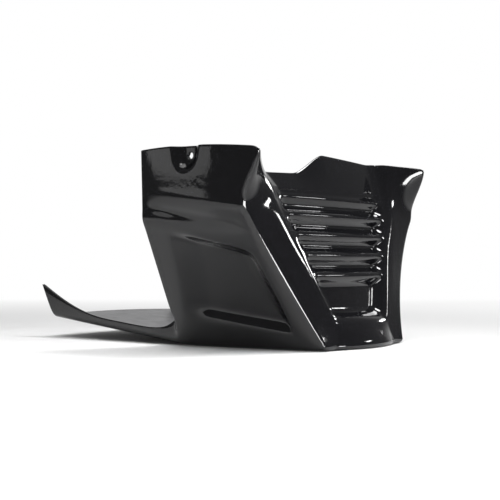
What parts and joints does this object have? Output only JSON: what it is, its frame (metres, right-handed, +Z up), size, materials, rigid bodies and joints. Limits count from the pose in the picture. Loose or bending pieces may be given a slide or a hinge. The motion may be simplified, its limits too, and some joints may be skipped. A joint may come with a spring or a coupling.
{
  "type": "motorcycle belly pan",
  "caption": "Moulded belly pan for a motorcycle: louvred front wall, pocketed side panels with sunk bolt seats, open top and a long upswept tail.",
  "frame": {"origin": "on the floor's underside, midway along the pan and midway across it", "axes": "+Z up, the louvred front faces -Y, +X towards the motorcycle's left side"},
  "size_m": [0.3114, 0.3911, 0.1957],
  "materials": {
    "moulding": "gloss black"
  },
  "bodies": {
    "root": {"belly_pan": "moulding"}
  },
  "joints": []
}
